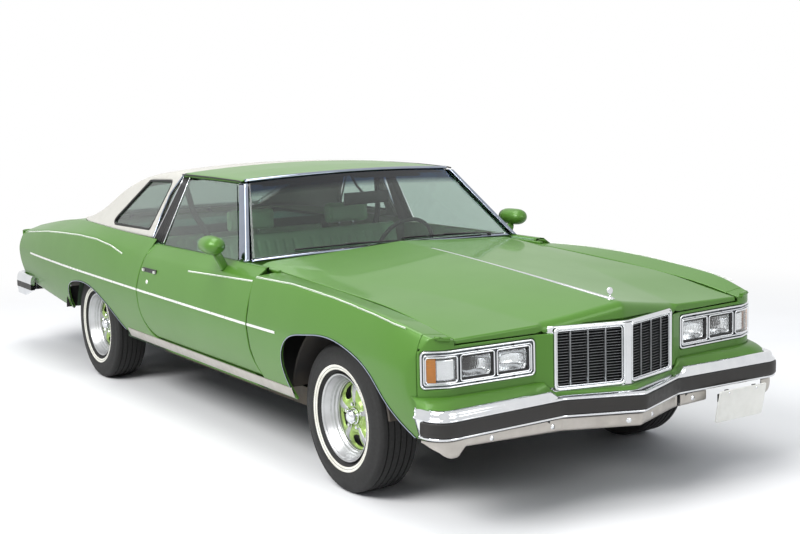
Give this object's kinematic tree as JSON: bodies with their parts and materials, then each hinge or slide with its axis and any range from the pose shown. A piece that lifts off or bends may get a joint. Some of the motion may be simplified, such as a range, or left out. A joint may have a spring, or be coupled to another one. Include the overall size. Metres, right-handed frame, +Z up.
{
  "type": "two-door hardtop car",
  "caption": "Full-size two-door hardtop car in green with a white half-vinyl roof, opening doors, hood and trunk lid, steering front wheels and turning wheels.",
  "frame": {"origin": "on the floor under the middle of the car's bounding box", "axes": "+X forward, +Y to the driver's left, +Z up"},
  "size_m": [5.74, 2.1728, 1.3867],
  "materials": {
    "paint": "metallic green, glossy",
    "vinyl": "white grained vinyl",
    "chrome": "polished",
    "bright_metal": "satin",
    "black_trim": "satin black",
    "rub_strip": "matt black",
    "frame_steel": "black chassis paint",
    "cast": "rough cast",
    "steel": "dull",
    "glass": "clear, faintly tinted",
    "lamp_glass": "clear lens",
    "red_lens": "red lens",
    "seat_trim": "mint green, sewn",
    "dash_trim": "green, grained",
    "plate": "blank white",
    "wheel": "green and silver with a bright ring",
    "tyre": "black with a narrow white band"
  },
  "bodies": {
    "body": {"front_fenders": "paint", "quarter_panels": "paint", "roof_front": "paint", "roof_rear": "vinyl", "fixed_glass": "glass", "pillar_louvres": "black_trim", "windshield_pillars": "chrome", "cowl": "paint", "floor_pan": "paint", "inner_fenders": "frame_steel", "chassis_frame": "frame_steel", "powertrain": "cast", "rear_axle": "cast", "front_suspension": "cast", "exhaust": "steel", "fuel_tank": "steel", "header_panel": "paint", "lamp_bezels": "chrome", "front_lamps": "lamp_glass", "grille": "chrome", "front_bumper": "chrome", "bumper_strip": "rub_strip", "licence_plate": "plate", "tail_panel": "paint", "tail_lamps": "red_lens", "rear_bumper": "chrome", "dashboard": "dash_trim", "bench_seats": "seat_trim"},
    "door_left": {"door_left": "paint", "door_glass_left": "glass"},
    "door_right": {"door_right": "paint", "door_glass_right": "glass"},
    "hood": {"hood": "paint"},
    "trunk_lid": {"trunk_lid": "paint"},
    "steering_wheel": {"steering_wheel": "dash_trim"},
    "knuckle_left": {"knuckle_left": "cast"},
    "knuckle_right": {"knuckle_right": "cast"},
    "wheel_front_left": {"rim_front_left": "wheel", "tyre_front_left": "tyre"},
    "wheel_front_right": {"rim_front_right": "wheel", "tyre_front_right": "tyre"},
    "wheel_rear_left": {"rim_rear_left": "wheel", "tyre_rear_left": "tyre"},
    "wheel_rear_right": {"rim_rear_right": "wheel", "tyre_rear_right": "tyre"}
  },
  "joints": [
    {"name": "door_left_hinge", "type": "hinge", "parent": "body", "child": "door_left", "pos_m": [1.032, 0.96, 0.67], "axis": [0, 0, -1], "range_deg": [0, 65]},
    {"name": "door_right_hinge", "type": "hinge", "parent": "body", "child": "door_right", "pos_m": [1.032, -0.96, 0.67], "axis": [0, 0, 1], "range_deg": [0, 65]},
    {"name": "hood_hinge", "type": "hinge", "parent": "body", "child": "hood", "pos_m": [0.905, 0, 0.936], "axis": [0, -1, 0], "range_deg": [0, 40]},
    {"name": "trunk_hinge", "type": "hinge", "parent": "body", "child": "trunk_lid", "pos_m": [-2.1365, 0, 0.952], "axis": [0, 1, 0], "range_deg": [0, 70]},
    {"name": "steer_right", "type": "hinge", "parent": "body", "child": "knuckle_right", "pos_m": [1.841, -0.7, 0.345], "axis": [0, 0, 1], "range_deg": [-33, 33]},
    {"name": "steer_left", "type": "hinge", "parent": "body", "child": "knuckle_left", "pos_m": [1.841, 0.7, 0.345], "axis": [0, 0, 1], "range_deg": [-33, 33]},
    {"name": "steering_wheel_turn", "type": "hinge", "parent": "body", "child": "steering_wheel", "pos_m": [0.462, 0.38, 0.858], "axis": [-0.9359, 0, 0.3522], "range_deg": [-540, 540]},
    {"name": "wheel_front_left_spin", "type": "hinge", "parent": "knuckle_left", "child": "wheel_front_left", "pos_m": [1.841, 0.812, 0.345], "axis": [0, 1, 0], "continuous": true},
    {"name": "wheel_front_right_spin", "type": "hinge", "parent": "knuckle_right", "child": "wheel_front_right", "pos_m": [1.841, -0.812, 0.345], "axis": [0, 1, 0], "continuous": true},
    {"name": "wheel_rear_left_spin", "type": "hinge", "parent": "body", "child": "wheel_rear_left", "pos_m": [-1.293, 0.812, 0.345], "axis": [0, 1, 0], "continuous": true},
    {"name": "wheel_rear_right_spin", "type": "hinge", "parent": "body", "child": "wheel_rear_right", "pos_m": [-1.293, -0.812, 0.345], "axis": [0, 1, 0], "continuous": true}
  ],
  "couplings": [
    {"joint": "steer_left", "follows": "steer_right", "ratio": 1},
    {"joint": "steering_wheel_turn", "follows": "steer_right", "ratio": 16}
  ]
}
